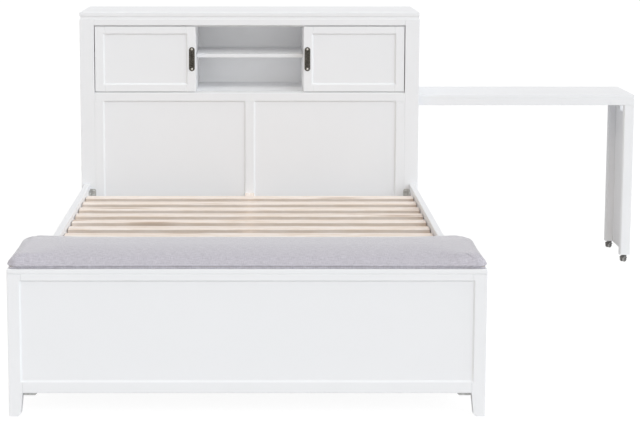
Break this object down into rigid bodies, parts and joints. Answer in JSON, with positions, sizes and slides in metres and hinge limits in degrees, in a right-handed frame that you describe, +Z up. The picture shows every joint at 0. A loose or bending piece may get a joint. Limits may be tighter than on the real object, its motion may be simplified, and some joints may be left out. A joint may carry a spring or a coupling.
{
  "type": "bookcase platform bed",
  "caption": "Slatted platform bed with a bookcase headboard behind sliding doors, a desk that rolls out of the headboard, and a cushioned storage bench as footboard.",
  "frame": {"origin": "on the floor, under the middle of the whole bed's bounding box with the desk rolled out", "axes": "+Z up, +Y from the bench at the foot to the headboard, +X to the side where the desk rolls out"},
  "size_m": [2.436, 2.792, 1.115],
  "materials": {
    "white_paint": "satin white paint over solid wood and panels",
    "pine": "sanded pine, clear matt lacquer, small knots",
    "plywood": "unfinished birch plywood",
    "runner_wood": "waxed hardwood",
    "linen": "heather grey linen weave",
    "bronze": "dark bronze, satin",
    "zinc_steel": "zinc plated",
    "track": "white plastic track",
    "nylon": "natural nylon",
    "caster_hood": "black moulded nylon",
    "caster_tread": "dark grey soft tread"
  },
  "bodies": {
    "bed": {"bench_back_legs": "white_paint", "bench_back_panel": "white_paint", "bench_corner_brackets": "zinc_steel", "bench_floor_panel": "white_paint", "bench_front_panel": "white_paint", "bench_hinge_box_leaves": "zinc_steel", "bench_left_front_leg": "white_paint", "bench_rails": "white_paint", "bench_right_front_leg": "white_paint", "bench_side_panels": "white_paint", "bench_top_cap": "white_paint", "bookcase_back_panel": "white_paint", "bookcase_floor": "white_paint", "bookcase_partitions": "white_paint", "bookcase_top_rail": "white_paint", "centre_beam": "pine", "centre_legs": "pine", "centre_shelf": "white_paint", "desk_runners": "runner_wood", "desk_stops": "runner_wood", "door_tracks": "track", "headboard_back_posts": "white_paint", "headboard_back_rails": "white_paint", "headboard_left_front_post": "white_paint", "headboard_left_side_panel": "white_paint", "headboard_right_front_post": "white_paint", "headboard_right_side_panel": "white_paint", "headboard_top_board": "white_paint", "left_side_rail": "white_paint", "lower_bottom_rail": "white_paint", "lower_centre_stile": "white_paint", "lower_panels": "white_paint", "lower_side_stiles": "white_paint", "lower_top_rail": "white_paint", "rail_brackets": "zinc_steel", "right_side_rail": "white_paint", "shelf_pins": "zinc_steel", "slat_ledgers": "pine", "slats": "pine"},
    "left_door": {"left_door_frame": "white_paint", "left_door_panel": "white_paint", "left_door_pull": "bronze", "left_door_glides": "nylon"},
    "right_door": {"right_door_frame": "white_paint", "right_door_panel": "white_paint", "right_door_pull": "bronze", "right_door_glides": "nylon"},
    "lid": {"bench_lid_base": "plywood", "bench_cushion": "linen", "bench_hinge_lid_leaves": "zinc_steel"},
    "desk": {"desk_top_board": "white_paint", "desk_side_aprons": "white_paint", "desk_end_rails": "white_paint", "desk_glides": "nylon", "desk_leg_posts": "white_paint", "desk_leg_panel": "white_paint"},
    "front_caster": {"front_caster_fork": "caster_hood"},
    "front_wheels": {"front_caster_wheels": "caster_tread"},
    "back_caster": {"back_caster_fork": "caster_hood"},
    "back_wheels": {"back_caster_wheels": "caster_tread"}
  },
  "joints": [
    {"name": "left_door_slide", "type": "slide", "parent": "bed", "child": "left_door", "axis": [1, 0, 0], "range_m": [0, 0.466]},
    {"name": "right_door_slide", "type": "slide", "parent": "bed", "child": "right_door", "axis": [1, 0, 0], "range_m": [-0.466, 0]},
    {"name": "bench_lid_hinge", "type": "hinge", "parent": "bed", "child": "lid", "pos_m": [-0.476, -0.998, 0.4704], "axis": [-1, 0, 0], "range_deg": [0, 80]},
    {"name": "desk_slide", "type": "slide", "parent": "bed", "child": "desk", "axis": [1, 0, 0], "range_m": [-0.954, 0]},
    {"name": "front_caster_swivel", "type": "hinge", "parent": "desk", "child": "front_caster", "pos_m": [1.1955, 1.003, 0.032], "axis": [0, 0, 1], "continuous": true},
    {"name": "front_caster_roll", "type": "hinge", "parent": "front_caster", "child": "front_wheels", "pos_m": [1.1914, 1.00013, 0.0115], "axis": [-0.5736, 0.8192, 0], "continuous": true},
    {"name": "back_caster_swivel", "type": "hinge", "parent": "desk", "child": "back_caster", "pos_m": [1.1955, 1.329, 0.032], "axis": [0, 0, 1], "continuous": true},
    {"name": "back_caster_roll", "type": "hinge", "parent": "back_caster", "child": "back_wheels", "pos_m": [1.1914, 1.32613, 0.0115], "axis": [-0.5736, 0.8192, 0], "continuous": true}
  ]
}
